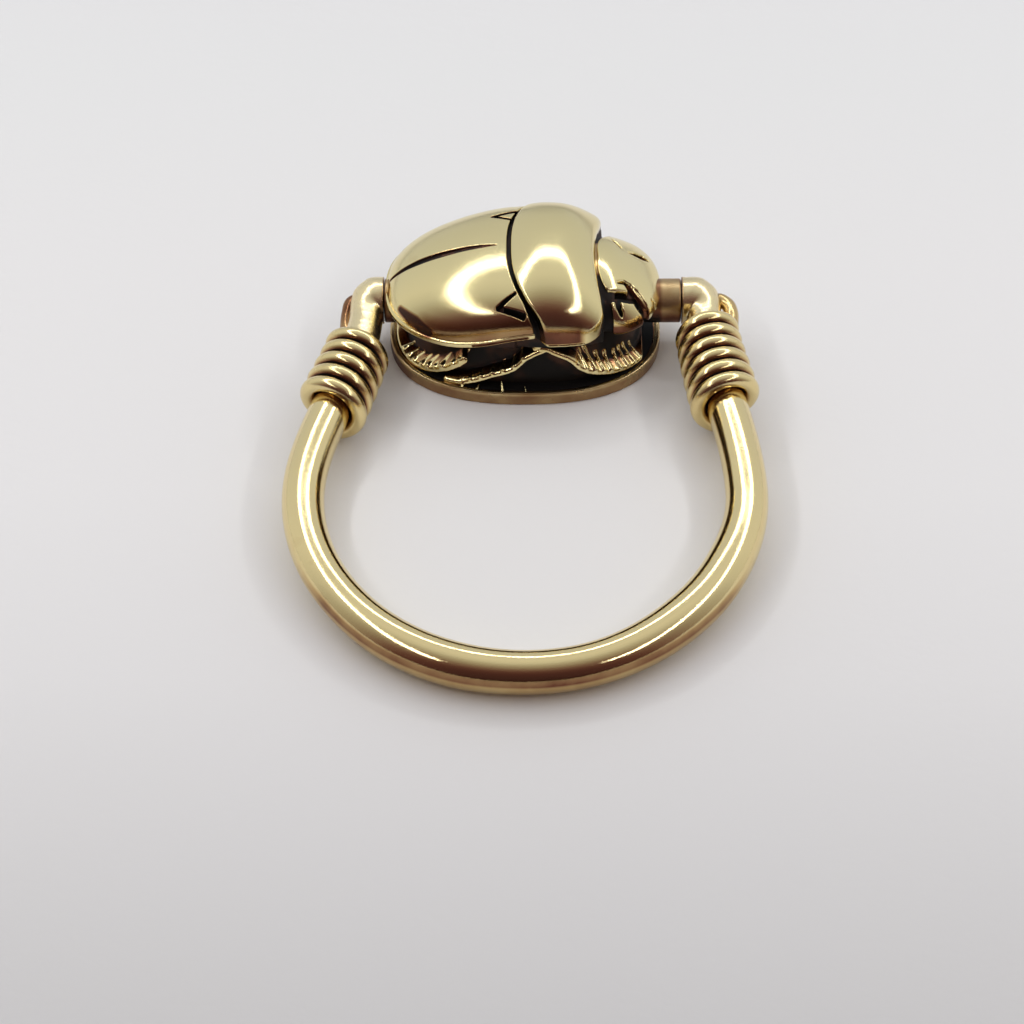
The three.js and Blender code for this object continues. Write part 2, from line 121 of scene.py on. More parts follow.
def stroke(x, y, z, path, reach=STROKE_REACH):
    """Distance to a rounded stroke through points (x, y, z, radius), or reach where it is far off."""
    points = np.array(path, float)
    widest = points[:, 3].max() + reach
    low = points[:, :3].min(0) - widest
    high = points[:, :3].max(0) + widest
    near = (x > low[0]) & (x < high[0]) & (y > low[1]) & (y < high[1]) & (z > low[2]) & (z < high[2])
    result = np.full(x.shape, reach, np.float32)
    px, py, pz = x[near], y[near], z[near]
    best = np.full(px.shape, reach, np.float32)
    for start, end in zip(points[:-1], points[1:]):
        along = end[:3] - start[:3]
        length = max(along @ along, 1e-9)
        share = (px - start[0]) * along[0] + (py - start[1]) * along[1] + (pz - start[2]) * along[2]
        share = np.clip(share / length, 0, 1)
        gap = np.sqrt(
            (px - start[0] - share * along[0]) ** 2
            + (py - start[1] - share * along[1]) ** 2
            + (pz - start[2] - share * along[2]) ** 2
        )
        best = np.minimum(best, gap - (start[3] + share * (end[3] - start[3])))
    result[near] = best
    return result


def plan_stroke(x, y, path):
    """Distance to a flat stroke through places (x, y, radius), whatever the height."""
    nearest = np.full(x.shape, FAR_OFF, np.float32)
    for start, end in zip(path[:-1], path[1:]):
        along = (end[0] - start[0], end[1] - start[1])
        length = along[0] ** 2 + along[1] ** 2
        share = np.clip(((x - start[0]) * along[0] + (y - start[1]) * along[1]) / length, 0, 1)
        gap = np.hypot(x - start[0] - share * along[0], y - start[1] - share * along[1])
        nearest = np.minimum(nearest, gap - (start[2] + share * (end[2] - start[2])))
    return nearest


def curve_through(places, values):
    """A smooth function through a few places and values, as a fine table."""
    places = np.array(places, float)
    values = np.array(values, float)
    slopes = np.gradient(values, places)
    fine = np.linspace(places[0], places[-1], 400)
    index = np.clip(np.searchsorted(places, fine, side="right") - 1, 0, len(places) - 2)
    width = places[index + 1] - places[index]
    share = (fine - places[index]) / width
    smooth = (
        (2 * share ** 3 - 3 * share ** 2 + 1) * values[index]
        + (share ** 3 - 2 * share ** 2 + share) * width * slopes[index]
        + (3 * share ** 2 - 2 * share ** 3) * values[index + 1]
        + (share ** 3 - share ** 2) * width * slopes[index + 1]
    )
    return lambda place: np.interp(place, fine, smooth)


def smooth_step(value):
    value = np.clip(value, 0, 1)
    return value * value * (3 - 2 * value)


def power(value, exponent):
    return np.maximum(value, 0) ** exponent


# Sculpting a field into a mesh

def gradient(field, x, y, z, probe=0.012):
    return np.stack([
        field(x + probe, y, z) - field(x - probe, y, z),
        field(x, y + probe, z) - field(x, y - probe, z),
        field(x, y, z + probe) - field(x, y, z - probe),
    ], axis=-1) / (2 * probe)


def sculpt(name, field, low, high, step=SCULPT_STEP, recess=None):
    """A closed mesh of a field's surface. recess gives how dark each point is painted, as painted shade
    and painted dark reflections.
    """
    axes = [np.arange(low[i] - 2 * step, high[i] + 2 * step, step) for i in range(3)]
    x, y, z = (part.ravel().astype(np.float32) for part in np.meshgrid(*axes, indexing="ij"))
    values = np.clip(field(x, y, z), -3 * step, 3 * step)
    volume = openvdb.FloatGrid(3 * step)
    volume.copyFromArray(values.reshape([len(axis) for axis in axes]).astype(np.float64))
    points, quads = volume.convertToQuads()
    points = points * step + np.array([axis[0] for axis in axes])
    for _ in range(2):
        x, y, z = points.T
        value = field(x, y, z)
        slope = gradient(field, x, y, z)
        steepness = np.maximum((slope ** 2).sum(-1), 0.2)
        move = np.clip(value / steepness, -step, step)
        points = points - slope * move[:, None]
    piece = mesh_object(name, points, quads[:, ::-1])
    if recess is not None:
        add_recess(piece, recess(*points.T))
    return piece


def mesh_object(name, points, faces):
    mesh = bpy.data.meshes.new(name)
    mesh.from_pydata((np.asarray(points) * MM).tolist(), [], [list(map(int, face)) for face in faces])
    mesh.validate()
    mesh.shade_smooth()
    piece = bpy.data.objects.new(name, mesh)
    scene.collection.objects.link(piece)
    return piece


def add_recess(piece, values):
    layer = piece.data.attributes.new("recess", "FLOAT", "POINT")
    layer.data.foreach_set("value", np.clip(values, 0, 1).astype(np.float32))


# Wing cases

wing_edge = curve_through([-6.5, -4.5, -3.5, -2, -0.65, 0.9], [2.85, 2.85, 2.87, 3.1, 3.45, 3.72])
WING_SPAN = WAIST_X - TAIL_X
WING_CREASE = 0.1
WING_CROWN = 1.7
WING_ROUNDNESS = 2.4
RIM_HEIGHT = 0.26
RIM_REACH = 0.07
WAIST_GROOVE_X = -0.74
WAIST_SWEEP = 1.32
GROOVE_HALF = 0.085
GROOVE_OPENING = 0.12
NOTCH_DEPTH = 0.32
# Half widths of the line between the wing cases, as (x, radius)
SUTURE_SPOTS = [
    (-6.1, 0.06), (-5.6, 0.11), (-4.7, 0.16), (-3.8, 0.17), (-2.8, 0.13), (-1.9, 0.08), (-1.3, 0.02),
]
# Notches at the waist as (x, distance from the middle, radius), and a painted dark reflection near the
# tail
NOTCH_NEAR = [(-0.44, 2.8, 0.07), (-1.19, 3.36, 0.1), (-0.08, 3.68, 0.13)]
NOTCH_FAR = [(-0.3, 1.7, 0.06), (-1.45, 2.2, 0.08), (-0.4, 2.6, 0.1)]
TAIL_PAINTED_REFLECTION = [(-5.6, 2.0, 3.5, 0.2), (-4.95, 2.85, 3.5, 0.36), (-4.3, 3.3, 3.3, 0.3)]


def wing_dome_shape(x, y, z):
    crease = wing_edge(x) + WING_CREASE
    along = power((WAIST_X - x) / WING_SPAN, 1)
    across = np.abs(y) / WING_HALF
    up = power((z - crease) / (BACK_HEIGHT - crease), 1)
    crown = (along ** WING_CROWN + up ** WING_CROWN) ** (WING_ROUNDNESS / WING_CROWN)
    return (crown + across ** WING_ROUNDNESS) ** (1 / WING_ROUNDNESS) - 1


wing_dome = as_distance(wing_dome_shape)


def on_crown(spots):
    """A stroke along the wing cases' crown."""
    path = []
    for x, radius in spots:
        crease = wing_edge(x) + WING_CREASE
        along = (WAIST_X - x) / WING_SPAN
        height = (1 - along ** WING_CROWN) ** (1 / WING_CROWN)
        path.append((x, 0, crease + (BACK_HEIGHT - crease) * height, radius))
    return path


SUTURE = on_crown(SUTURE_SPOTS)


def waist_line(y):
    """Where the groove between the wing cases and the thorax runs."""
    return WAIST_GROOVE_X + WAIST_SWEEP * (np.abs(y) / 4) ** 2.6


def waist_gap(y):
    """Half the width of the groove at the waist, which opens low on the sides."""
    return GROOVE_HALF + GROOVE_OPENING * smooth_step((np.abs(y) - 3.2) / 0.7)


def wing_cuts(x, y, z, dome):
    """The line between the wing cases, and the notches, which differ from side to side."""
    near = np.maximum(plan_stroke(x, -y, NOTCH_NEAR), y)
    far = np.maximum(plan_stroke(x, y, NOTCH_FAR), -y)
    notch = np.maximum(np.minimum(near, far), -dome - NOTCH_DEPTH)
    return np.minimum(stroke(x, y, z, SUTURE), notch)


def on_wing_edge(rear, front, rise, reach, radius):
    """A stroke along the wing case's lower edge, from its rear to its front place."""
    places = np.linspace(rear, front, 9)
    along = np.maximum((WAIST_X - places) / WING_SPAN, 0)
    half = WING_HALF * (1 - along ** WING_ROUNDNESS) ** (1 / WING_ROUNDNESS)
    return [(x, y + reach, wing_edge(x) + rise, radius) for x, y in zip(places, half)]


RIM_CHANNEL = on_wing_edge(rear=-2.3, front=0.1, rise=0.12, reach=RIM_REACH, radius=0.06)


def rim_channel(x, y, z):
    """A groove along the rim, near the waist."""
    return stroke(x, np.abs(y), z, RIM_CHANNEL)


def wing_field(x, y, z):
    dome = wing_dome(x, y, z)
    edge = wing_edge(x)
    body = smooth_max(dome, edge - z, 0.05)
    rim = smooth_max(dome - RIM_REACH, np.abs(z - edge - RIM_HEIGHT / 2) - RIM_HEIGHT / 2, 0.05)
    body = smooth_min(body, rim, 0.05)
    body = smooth_max(body, x - (waist_line(y) - waist_gap(y)), 0.07)
    return smooth_max(body, -np.minimum(wing_cuts(x, y, z, dome), rim_channel(x, y, z)), 0.03)


def wing_recess(x, y, z):
    dome = wing_dome(x, y, z)
    # Painted shade in the line between the wing cases, the notches and the rim's channel, on faces set
    # back inside the dome, and underneath
    groove = (0.035 - wing_cuts(x, y, z, dome)) / 0.04
    channel = np.clip((0.04 - rim_channel(x, y, z)) / 0.04, 0, 0.7)
    wall = (-dome - 0.03) / 0.08
    under = (wing_edge(x) + 0.03 - z) / 0.05
    # A painted dark reflection lies on the dome above its rim, all but near the tail, which has its own
    # painted dark reflection
    rise = z - wing_edge(x) - RIM_HEIGHT
    low_painted_reflection = np.interp(rise, [0, 0.05, 0.6, 1.0], [0, 0.62, 0.5, 0]) * smooth_step((x + 5.1) / 0.8)
    painted_dark_reflection = np.clip((0.06 - stroke(x, np.abs(y), z, TAIL_PAINTED_REFLECTION)) / 0.2, 0, 0.92)
    return np.max([groove, channel, wall, under, low_painted_reflection, painted_dark_reflection], axis=0)


# Thorax

thorax_top = curve_through(
    [-1, -0.4, 0.4, 1.2, 2, 2.5, 2.95, 3.3, 4], [5.4, 5.7, 5.96, 6.01, 5.87, 5.62, 5.29, 4.98, 4.3]
)
thorax_half = curve_through([-1, 0, 1, 2, 3, 4], [4.0, 4.14, 4.2, 4.15, 3.97, 3.65])
thorax_front = curve_through(
    [0, 0.75, 1.75, 2.6, 3.25, 3.65, 3.95, 4.3], [3.14, 3.17, 3.27, 3.42, 3.45, 3.27, 2.95, 2.3]
)
THORAX_EDGE = 3.27
THORAX_CREASE = 0.06
THORAX_ROUNDNESS = 2.4
THORAX_LIP = 0.04


def thorax_dome_shape(x, y, z):
    across = np.abs(y) / thorax_half(x)
    up = power((z - THORAX_EDGE - THORAX_CREASE) / (thorax_top(x) - THORAX_EDGE - THORAX_CREASE), 1)
    return (across ** THORAX_ROUNDNESS + up ** THORAX_ROUNDNESS) ** (1 / THORAX_ROUNDNESS) - 1


thorax_dome = as_distance(thorax_dome_shape)


def thorax_field(x, y, z):
    dome = thorax_dome(x, y, z)
    body = smooth_max(dome, THORAX_EDGE - z, 0.04)
    lip = smooth_max(dome - THORAX_LIP, np.abs(z - THORAX_EDGE - THORAX_LIP) - THORAX_LIP, 0.03)
    body = smooth_min(body, lip, 0.03)
    body = smooth_max(body, waist_line(y) + waist_gap(y) - x, 0.09)
    return smooth_max(body, x - thorax_front(np.abs(y)), 0.2)


def thorax_recess(x, y, z):
    """Painted shade underneath and on the walls of its ends, and a painted red-brown reflection above its
    lower edge.
    """
    under = (THORAX_EDGE + 0.02 - z) / 0.05
    wall = (-thorax_dome(x, y, z) - 0.14) / 0.2
    rise = z - THORAX_EDGE
    low_painted_reflection = np.interp(rise, [0.09, 0.14, 0.75, 1.15], [0, 0.8, 0.76, 0]) * smooth_step((2.75 - x) / 0.4)
    return np.max([wall, under, low_painted_reflection], axis=0)


# Head

head_top = curve_through([3, 3.9, 4.6, 5.2, 5.8, 6.3], [5.05, 4.82, 4.4, 4.08, 3.74, 3.3])
head_rear = curve_through([0, 0.7, 1.1, 1.5, 1.9, 2.3, 2.7], [3.27, 3.25, 3.32, 3.46, 3.7, 3.84, 3.93])
HEAD_MIDDLE_X = 4.15
HEAD_EDGE = 2.62
HEAD_CREASE = 0.2
HEAD_LEAN = 0.35
HEAD_ROUNDNESS = 2.15
HEAD_PLAN_NEAR = 1.8
HEAD_PLAN_FAR = 2.5

# Cuts in the head as (x, distance from the middle, radius)
EYE_GROOVE = [
    (4.15, 1.3, 0.04), (4.45, 1.14, 0.09), (4.7, 1.26, 0.2), (4.92, 1.5, 0.33), (5.18, 1.74, 0.32),
    (5.3, 1.95, 0.14),
]
EYE_HOLLOW = [(3.7, 2.0, 0.2), (4.1, 1.93, 0.2), (4.6, 1.76, 0.22), (4.85, 1.62, 0.2)]
CHEEK_SLOT = [(4.1, 2.05, 0.12), (4.18, 2.28, 0.12), (4.28, 2.45, 0.08), (4.31, 2.52, 0.03)]
NOSE_NICK = [(5.75, 1.15, 0.02), (6.1, 1.35, 0.05)]
FAR_EYE = [(4.7, 1.0, 0.03), (5.0, 1.12, 0.13), (5.3, 1.2, 0.15), (5.55, 1.24, 0.05)]
FAR_NOTCH = [(4.0, 1.5, 0.05), (4.34, 1.08, 0.03)]
EYE_MIDDLE = (4.92, 1.5)
EYE_SLOPE = (0.6, 0.8)
EYE_DEPTH = 0.38
EYE_RISE = 0.3
HOLLOW_DEPTH = 0.45
NICK_DEPTH = 0.14
FAR_DEPTH = 0.24


def head_dome_shape(x, y, z):
    crease = HEAD_EDGE + HEAD_CREASE
    along = power((x - HEAD_MIDDLE_X) / (NOSE_X - HEAD_MIDDLE_X), 1)
    half = HEAD_HALF - HEAD_LEAN * power(crease - z, 1)
    across = np.abs(y) / half
    up = power((z - crease) / (head_top(x) - crease), 1)
    square = np.where(y < 0, HEAD_PLAN_NEAR, HEAD_PLAN_FAR)
    plan = (along ** square + across ** square) ** (HEAD_ROUNDNESS / square)
    return (plan + up ** HEAD_ROUNDNESS) ** (1 / HEAD_ROUNDNESS) - 1


head_dome = as_distance(head_dome_shape)


def head_cuts(x, y, dome):
    """Eye grooves and hollows. The far side is smoother: it has one small groove and a notch."""
    far = np.minimum(plan_stroke(x, y, FAR_EYE), plan_stroke(x, y, FAR_NOTCH))
    far = np.maximum(far, -dome - FAR_DEPTH)
    side = -y
    # The eye groove's floor slopes from one side of the groove to the other
    outward = (x - EYE_MIDDLE[0]) * EYE_SLOPE[0] + (EYE_MIDDLE[1] - side) * EYE_SLOPE[1]
    floor_depth = EYE_DEPTH - EYE_RISE * smooth_step((outward + 0.05) / 0.3)
    groove = np.maximum(plan_stroke(x, side, EYE_GROOVE), -dome - floor_depth)
    groove = np.minimum(groove, far)
    hollow = np.minimum(plan_stroke(x, side, EYE_HOLLOW), plan_stroke(x, side, CHEEK_SLOT))
    hollow = np.maximum(hollow, -dome - HOLLOW_DEPTH)
    nick = np.maximum(plan_stroke(x, side, NOSE_NICK), -dome - NICK_DEPTH)
    return np.minimum(np.minimum(groove, hollow), nick)


def head_field(x, y, z):
    dome = head_dome(x, y, z)
    body = smooth_max(dome, HEAD_EDGE - z, 0.08)
    body = smooth_max(body, head_rear(np.abs(y)) - x, 0.07)
    return smooth_max(body, -head_cuts(x, y, dome), 0.1)


def head_recess(x, y, z):
    """Painted shade, dark at the bottom of the eye groove and hollows and brown on their walls, and a
    painted dark reflection low on the cheeks.
    """
    depth = -head_dome(x, y, z)
    inside = np.interp(depth, [0.05, 0.16, 0.3], [0, 0.62, 1])
    bevel = np.interp(z - HEAD_EDGE, [0.05, 0.12, 0.5, 0.66], [0.1, 0.76, 0.72, 0]) * (x < 5.6)
    return np.maximum(inside, bevel)


# Dark core that the wing cases, the thorax and the head sit on, painted black as shade

CORE_BOTTOM = 2.7
WING_CORE_DEPTH = 0.34
WING_CORE_END = -0.4
THORAX_CORE_DEPTH = 0.5
THORAX_CORE_X = 1.2
THORAX_CORE_HALF = 2.3
NECK_DEPTH = 0.13
NECK_X = 3.55
NECK_HALF = 0.45
HEAD_CORE_DEPTH = 0.5
HEAD_CORE_START = 3.2


def core_field(x, y, z):
    rear = np.maximum(wing_dome(x, y, z) + WING_CORE_DEPTH, x - WING_CORE_END)
    middle = thorax_dome(x, y, z) + THORAX_CORE_DEPTH
    middle = np.maximum(middle, np.abs(x - THORAX_CORE_X) - THORAX_CORE_HALF)
    neck = np.maximum(head_dome(x, y, z) + NECK_DEPTH, np.abs(x - NECK_X) - NECK_HALF)
    front = np.maximum(head_dome(x, y, z) + HEAD_CORE_DEPTH, HEAD_CORE_START - x)
    body = smooth_min(smooth_min(rear, middle, 0.1), np.minimum(neck, front), 0.1)
    return smooth_max(body, CORE_BOTTOM - z, 0.05)


def core_recess(x, y, z):
    """Painted shade, black all over but at the top of the neck, where it is worn to brown."""
    worn = smooth_step((x - 2.9) / 0.2) * smooth_step((1.15 - np.abs(y)) / 0.25)
    return 1 - 0.5 * worn


# Flank with the legs in relief: ledges that stand out from a wall painted black as shade, with teeth above
# them

FLANK_FOOT_INSET = 0.28
FLANK_TOP_INSET = 1.0
FLANK_TOP = 3.0
WALL_DEPTH = 0.5
LEDGE_LIFT = 0.42

# Each leg's ledge as (x, height, radius), seen from the side
HIND_LEG = [
    (-5.9, 0.64, 0.08), (-5.3, 0.64, 0.09), (-4.5, 0.8, 0.1), (-4.0, 0.98, 0.11), (-3.5, 1.23, 0.12),
    (-3.0, 1.56, 0.13), (-2.72, 1.82, 0.14),
]
MIDDLE_LEG = [
    (-3.55, 0.62, 0.13), (-2.9, 0.71, 0.1), (-2.5, 0.84, 0.1), (-2.0, 1.03, 0.1), (-1.48, 1.25, 0.1),
    (-0.94, 1.42, 0.1), (-0.5, 1.6, 0.1), (-0.2, 1.87, 0.1), (0, 2.08, 0.1), (0.45, 2.32, 0.1),
    (0.9, 2.5, 0.1),
]
FRONT_LEG = [
    (0.7, 2.55, 0.1), (1.0, 2.5, 0.1), (1.45, 2.26, 0.11), (1.9, 2.03, 0.11), (2.2, 1.8, 0.11),
    (2.42, 1.53, 0.11), (2.8, 1.28, 0.11), (3.2, 1.12, 0.11), (3.75, 0.95, 0.1), (4.25, 0.85, 0.09),
    (4.8, 0.74, 0.07), (5.3, 0.68, 0.05),
]
KNEE = [(0.45, 2.6, 0.12), (0.66, 2.82, 0.17), (0.85, 2.95, 0.14)]

# Teeth of each leg as (place, lean along the body, rise, foot radius), standing on its upper face
HIND_TEETH = [
    (-5.62, 0.12, 0.26, 0.08), (-5.38, 0.12, 0.24, 0.08), (-5.12, 0.14, 0.26, 0.09),
    (-4.75, 0.16, 0.28, 0.1), (-4.45, 0.2, 0.34, 0.12), (-4.12, 0.16, 0.28, 0.09),
    (-3.8, 0.2, 0.4, 0.13), (-3.3, 0.2, 0.3, 0.1), (-2.95, 0.14, 0.26, 0.1),
]
MIDDLE_TEETH = [
    (-2.5, 0.06, 0.1, 0.09), (-2.02, 0.06, 0.14, 0.1), (-1.5, 0.04, 0.12, 0.09),
    (-1.02, 0.05, 0.16, 0.1), (-0.5, 0.04, 0.22, 0.1), (-0.1, 0.02, 0.2, 0.09),
]
FRONT_TEETH = [
    (2.45, -0.12, 0.34, 0.1), (2.82, -0.2, 0.7, 0.1), (3.22, -0.34, 0.95, 0.12),
    (3.62, -0.16, 0.66, 0.12), (3.95, -0.04, 0.62, 0.12), (4.38, -0.02, 0.6, 0.11),
    (4.72, -0.12, 0.72, 0.1), (5.02, -0.2, 0.75, 0.09), (5.3, -0.14, 0.6, 0.07),
]
RIM_TEETH = [
    (-2.8, -0.06, 0.26, 0.07), (-2.15, 0.03, 0.14, 0.08), (-1.0, -0.08, 0.3, 0.08),
    (0.06, -0.08, 0.14, 0.07),
]


def oval(x, y, inset):
    """The plate's outline, or a smaller one inside it."""
    half_length = PLATE_LENGTH / 2 - inset
    half_width = PLATE_WIDTH / 2 - inset
    shares = (np.abs(x) / half_length) ** PLATE_SQUARENESS + (np.abs(y) / half_width) ** PLATE_SQUARENESS
    return shares ** (1 / PLATE_SQUARENESS) - 1


def flank_inset(z):
    """How far inside the plate's outline the legs' outer skin lies at a height."""
    share = (z - PLATE_THICKNESS) / (FLANK_TOP - PLATE_THICKNESS)
    return FLANK_FOOT_INSET + (FLANK_TOP_INSET - FLANK_FOOT_INSET) * share


flank_skin = as_distance(lambda x, y, z: oval(x, y, flank_inset(z)))


def on_flank(x, z, depth):
    """A place at a depth behind the legs' outer skin."""
    inset = flank_inset(z)
    share = abs(x) / (PLATE_LENGTH / 2 - inset)
    half = max(1 - share ** PLATE_SQUARENESS, 0) ** (1 / PLATE_SQUARENESS)
    along = x * (PLATE_LENGTH / 2 - inset - depth) / (PLATE_LENGTH / 2 - inset)
    return along, (PLATE_WIDTH / 2 - inset - depth) * half, z


def tooth(place, foot, lean, rise, radius):
    """A stroke that starts near the leg's skin and leans back toward the wall as it rises."""
    return [
        (*on_flank(place, foot, 0.1), radius),
        (*on_flank(place + 0.2 * lean, foot + 0.3 * rise, 0.3), radius * 0.6),
        (*on_flank(place + lean, foot + rise, 0.5), radius * 0.3),
    ]


def leg_top(leg, place):
    """How high a leg's upper face is at its front edge."""
    return float(np.interp(place, [spot[0] for spot in leg], [spot[1] + spot[2] for spot in leg]))


def all_teeth():
    """The teeth of the legs and of the plate's rim, each as a stroke that thins toward its tip."""
    rows = []
    for leg, specs in [(HIND_LEG, HIND_TEETH), (MIDDLE_LEG, MIDDLE_TEETH), (FRONT_LEG, FRONT_TEETH)]:
        rows += [tooth(place, leg_top(leg, place) + 0.02, *rest) for place, *rest in specs]
    for place, lean, rise, radius in RIM_TEETH:
        rows.append([
            (*on_flank(place, PLATE_THICKNESS, -0.08), radius),
            (*on_flank(place + lean, PLATE_THICKNESS + rise, 0.16), radius * 0.35),
        ])
    return rows


ALL_TEETH = all_teeth()


def teeth(x, y, z):
    nearest = np.full(x.shape, STROKE_REACH, np.float32)
    for path in ALL_TEETH:
        nearest = np.minimum(nearest, stroke(x, y, z, path))
    return nearest


def flank_field(x, y, z):
    side = np.abs(y)
    skin = flank_skin(x, side, z)
    wall = skin + WALL_DEPTH
    # A ledge's upper face rises toward the wall
    lifted = z - LEDGE_LIFT * np.clip(-skin, 0, WALL_DEPTH)
    legs = np.minimum(plan_stroke(x, lifted, HIND_LEG), plan_stroke(x, lifted, MIDDLE_LEG))
    legs = np.minimum(legs, plan_stroke(x, lifted, FRONT_LEG))
    legs = np.minimum(legs, plan_stroke(x, lifted, KNEE))
    ledges = smooth_max(legs, skin, 0.07)
    ledges = smooth_max(ledges, -skin - WALL_DEPTH - 0.2, 0.02)
    body = smooth_min(wall, ledges, 0.06)
    body = smooth_min(body, teeth(x, side, z), 0.06)
    body = smooth_max(body, z - FLANK_TOP - 0.2, 0.05)
    return smooth_max(body, PLATE_THICKNESS - 0.05 - z, 0.02)


def flank_recess(x, y, z):
    """Gold on the ledges' fronts and teeth; painted shade deepens behind them, red-brown on their upper
    faces and black on the wall.
    """
    side = np.abs(y)
    depth = -flank_skin(x, side, z)
    dark = np.interp(depth, [0.03, 0.12, 0.36, 0.46], [0.1, 0.55, 0.68, 1])
    bright = np.clip((teeth(x, side, z) - 0.03) / 0.05, 0, 1)
    return dark * bright


# Seal plate

PLATE_LIP_INSET = 0.12
PLATE_LIP_HALF = 0.1
PLATE_LIP_RISE = 0.07

plate_outline = as_distance(lambda x, y, z: oval(x, y, 0))


def plate_field(x, y, z):
    outline = plate_outline(x, y, z)
    body = smooth_max(outline, z - PLATE_THICKNESS, 0.1)
    lip = np.abs(outline + PLATE_LIP_INSET) - PLATE_LIP_HALF
    lip = smooth_max(lip, z - PLATE_THICKNESS - PLATE_LIP_RISE, 0.06)
    body = smooth_min(body, lip, 0.04)
    return smooth_max(body, -z, 0.08)


def plate_recess(x, y, z):
    """Painted shade inside the worn rim, where the beetle stands."""
    inward = (-plate_outline(x, y, z) - 0.24) / 0.1
    # The rim's outward face gets painted shade, more of it toward the tail
    side = np.clip((PLATE_THICKNESS - 0.02 - z) / 0.08, 0, 1)
    side *= 0.22 + 0.3 * smooth_step((-x - 5) / 0.8)
    return np.where(z > PLATE_THICKNESS * 0.6, np.maximum(inward, side), side)


# Hoop: it is built lying in the plane of the pivot and tilted onto the table

# Where the bent hoop bulges: how far its middle moves inward, and how much thicker it is
RIGHT_BULGE = (0.13, 0.07)
LEFT_BULGE = (-0.05, 0.04)

# How far above its winding the rod begins, inside the elbow
ROD_OVERLAP = {"left": 0.9, "right": 0.6}

MOUTH_RADIUS = 1.07
# The elbow's bend as (distance in from the post, depth, radius)
ELBOW_BEND = [(0.42, 0, 1.05), (0.2, 0.13, 0.93), (0.06, 0.45, 0.82)]
# The post below it as (depth, radius)
ELBOW_FOOT = (0.9, 0.75)
ELBOW_REACH = 3.0

ROD_SIDES = 48
WIRE_SIDES = 24
BEND_STEPS = 260
POST_STEPS = 150


def tilted(points):
    """Hoop places (x, depth below the pivot, height over the hoop's plane) in the frame's axes."""
    points = np.asarray(points, float)
    x, depth, rise = points[:, 0], points[:, 1], points[:, 2]
    sine, cosine = math.sin(HOOP_TILT), math.cos(HOOP_TILT)
    y = -depth * cosine - rise * sine
    z = PIVOT_HEIGHT - depth * sine + rise * cosine
    return np.stack([x, y, z], axis=-1)


def elbow_x(side):
    return side["mouth"] + side["outward"] * (side["elbow"] - POST_RADIUS)


def rod_x(side, depth):
    share = smooth_step((depth - POST_STRAIGHT) / (HOOP_DEPTH - POST_STRAIGHT))
    start = elbow_x(side)
    return start + (side["outward"] * HOOP_RADIUS - start) * share


def rod_radius(depth):
    share = smooth_step((depth - POST_STRAIGHT) / (TAPER_DEPTH - POST_STRAIGHT))
    return POST_RADIUS + (ROD_RADIUS - POST_RADIUS) * share


def bend_uneven(angle):
    """How far the hand-made hoop bulges at an angle of its bend: inward shift and extra radius."""
    right = smooth_step((2 * math.pi - angle) / 0.5) * smooth_step((angle - 2 * math.pi + 1.35) / 0.6)
    left = smooth_step((angle - math.pi - 0.6) / 0.4) * smooth_step((math.pi + 1.6 - angle) / 0.4)
    return [RIGHT_BULGE[i] * right + LEFT_BULGE[i] * left for i in range(2)]


def swept(name, centres, radii, sides, across):
    """A closed round tube along points, with the direction across given for each."""
    centres = np.asarray(centres, float)
    along = np.gradient(centres, axis=0)
    along /= np.linalg.norm(along, axis=1, keepdims=True)
    first = across - along * (across * along).sum(-1, keepdims=True)
    first /= np.linalg.norm(first, axis=1, keepdims=True)
    second = np.cross(along, first)
    angles = np.arange(sides) * 2 * math.pi / sides
    radii = np.asarray(radii, float).reshape(len(centres), -1, 1)
    rings = centres[:, None] + radii * (
        first[:, None] * np.cos(angles)[None, :, None] + second[:, None] * np.sin(angles)[None, :, None]
    )
    points = np.concatenate([rings.reshape(-1, 3), centres[:1], centres[-1:]])
    faces = []
    for ring in range(len(centres) - 1):
        for step in range(sides):
            a = ring * sides + step
            b = ring * sides + (step + 1) % sides
            faces.append((a, b, b + sides, a + sides))
    head, tail, last = len(points) - 2, len(points) - 1, (len(centres) - 1) * sides
    for step in range(sides):
        after = (step + 1) % sides
        faces.append((head, after, step))
        faces.append((tail, last + step, last + after))
    return mesh_object(name, points, faces)


def hoop_rod():
    """The hoop below its elbows, from one shoulder round to the other."""
    left, right = SIDES["left"], SIDES["right"]
    turn = math.pi + math.pi * np.linspace(0, 1, BEND_STEPS)
    left_down = np.linspace(left["start"] - ROD_OVERLAP["left"], HOOP_DEPTH, POST_STEPS, endpoint=False)
    right_down = np.linspace(right["start"] - ROD_OVERLAP["right"], HOOP_DEPTH, POST_STEPS, endpoint=False)
    path = [(rod_x(left, d), d, 0) for d in left_down]
    inward, extra = bend_uneven(turn)
    reach = HOOP_RADIUS - inward
    path += [(r * math.cos(a), HOOP_DEPTH - r * math.sin(a), 0) for r, a in zip(reach, turn)]
    path += [(rod_x(right, d), d, 0) for d in right_down[::-1]]
    radii = np.array([rod_radius(place[1]) for place in path])
    radii[len(left_down):len(left_down) + len(turn)] += extra
    centres = tilted(path)
    up = np.tile(np.array([0.0, 0.0, 1.0]), (len(path), 1))
    rod = swept("hoop_rod", centres, radii, ROD_SIDES, up)
    # A painted dark reflection along the outer side of the hoop's far end, darkest just above its middle
    places = np.array([vertex.co for vertex in rod.data.vertices])[:-2] / MM
    places = places.reshape(len(path), ROD_SIDES, 3)
    height = (places[..., 2] - centres[:, None, 2]) / ROD_RADIUS
    outer = np.hypot(places[..., 0], places[..., 1] + HOOP_DEPTH) > HOOP_RADIUS
    painted_dark_reflection = np.interp(height, [-0.8, -0.4, 0, 0.1, 0.4, 0.54], [0, 0.3, 0.32, 0.68, 0.56, 0]) * outer
    painted_dark_reflection *= smooth_step((-centres[:, 1] - 14) / 4)[:, None]
    add_recess(rod, np.concatenate([painted_dark_reflection.ravel(), [0, 0]]))
    return rod


